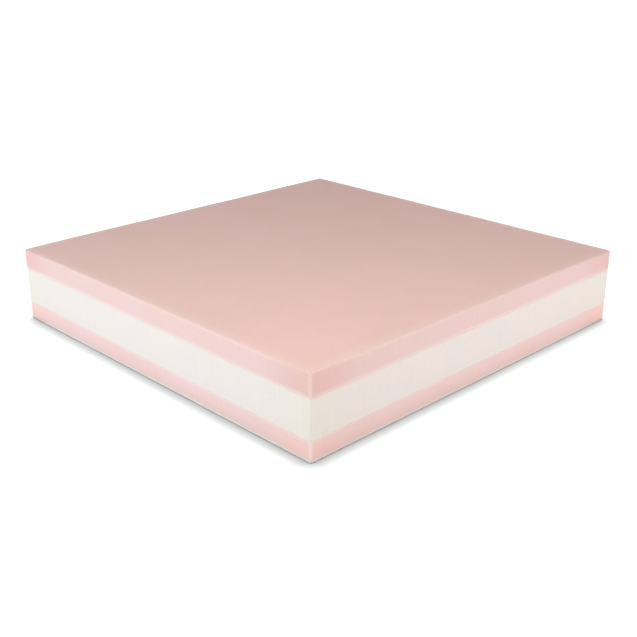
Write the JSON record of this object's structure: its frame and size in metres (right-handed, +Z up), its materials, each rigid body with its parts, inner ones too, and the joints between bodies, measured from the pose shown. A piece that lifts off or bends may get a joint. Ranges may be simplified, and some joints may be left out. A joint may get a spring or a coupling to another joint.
{
  "type": "mattress",
  "caption": "Uncovered foam mattress core, square in plan: a firm white slab glued between two slabs of pink memory foam, with sawn sides and slightly eased edges.",
  "frame": {"origin": "centre of the resting face, where the core lies on its base", "axes": "+Z up through the slabs, from the resting face to the sleeping face; X and Y along the sides of the square"},
  "size_m": [0.9, 0.9, 0.16],
  "materials": {
    "pink_memory_foam": "matte",
    "ivory_firm_foam": "matte",
    "cured_adhesive": "satin"
  },
  "bodies": {
    "root": {"lower_memory_foam": "pink_memory_foam", "lower_adhesive_film": "cured_adhesive", "firm_core": "ivory_firm_foam", "upper_adhesive_film": "cured_adhesive", "upper_memory_foam": "pink_memory_foam"}
  },
  "joints": []
}
